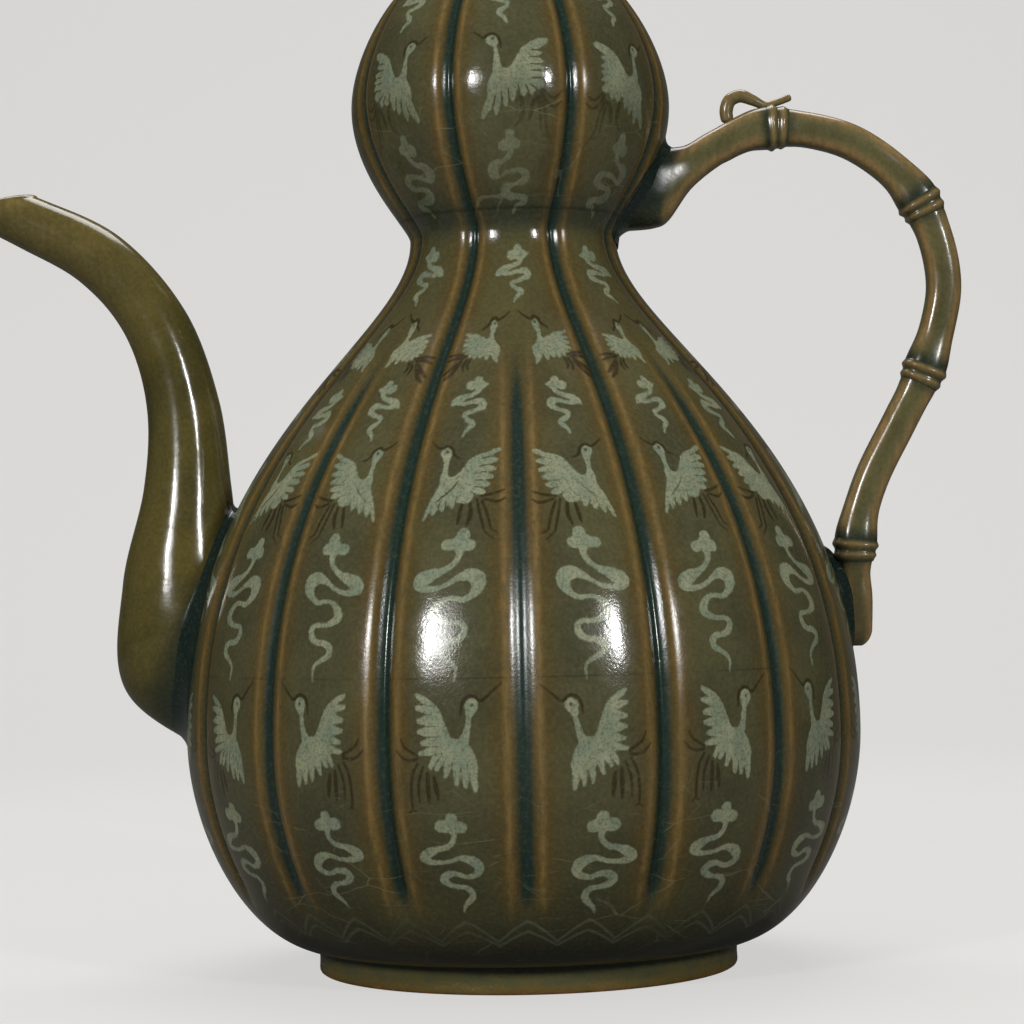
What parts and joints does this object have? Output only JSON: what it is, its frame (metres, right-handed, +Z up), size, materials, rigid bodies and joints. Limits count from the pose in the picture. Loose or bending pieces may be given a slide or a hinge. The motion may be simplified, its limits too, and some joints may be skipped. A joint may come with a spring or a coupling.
{
  "type": "gourd-shaped ewer",
  "caption": "Tall double-gourd celadon ewer with lobed hollow bulbs, ring foot, S-shaped spout, bamboo-shaped handle with a cord loop, and a lift-off lid.",
  "frame": {"origin": "centre of the plane that the foot ring stands on, on the vessel's axis", "axes": "+Z up along the vessel's axis, +X towards the handle, -X towards the spout"},
  "size_m": [0.2905, 0.1936, 0.3467],
  "materials": {
    "body_glaze": "glossy olive celadon glaze, teal where it pools and golden where it thins",
    "spout_glaze": "glossy olive-brown celadon glaze",
    "handle_glaze": "glossy golden-brown to green celadon glaze",
    "pooled_glaze": "glossy dark teal pooled glaze",
    "foot_glaze": "thin glaze, rust brown where bare at the edge",
    "bare_clay": "matt fired clay"
  },
  "bodies": {
    "vessel": {"foot_ring": "foot_glaze", "lower_bulb": "body_glaze", "upper_bulb": "body_glaze", "neck": "body_glaze", "spout": "spout_glaze", "spout_luting": "pooled_glaze", "handle_culm_1": "handle_glaze", "handle_culm_2": "handle_glaze", "handle_culm_3": "handle_glaze", "handle_culm_4": "handle_glaze", "handle_culm_5": "handle_glaze", "handle_node_1": "handle_glaze", "handle_node_2": "handle_glaze", "handle_node_3": "handle_glaze", "handle_node_4": "handle_glaze", "handle_upper_luting": "pooled_glaze", "handle_lower_luting": "pooled_glaze", "tendril_loop": "handle_glaze"},
    "lid": {"lid_cap": "body_glaze", "lid_plug": "bare_clay", "lid_stem": "handle_glaze", "lid_loop": "handle_glaze"}
  },
  "joints": [
    {"name": "lid_lift", "type": "slide", "parent": "vessel", "child": "lid", "axis": [0, 0, 1], "range_m": [0, 0.06]}
  ]
}
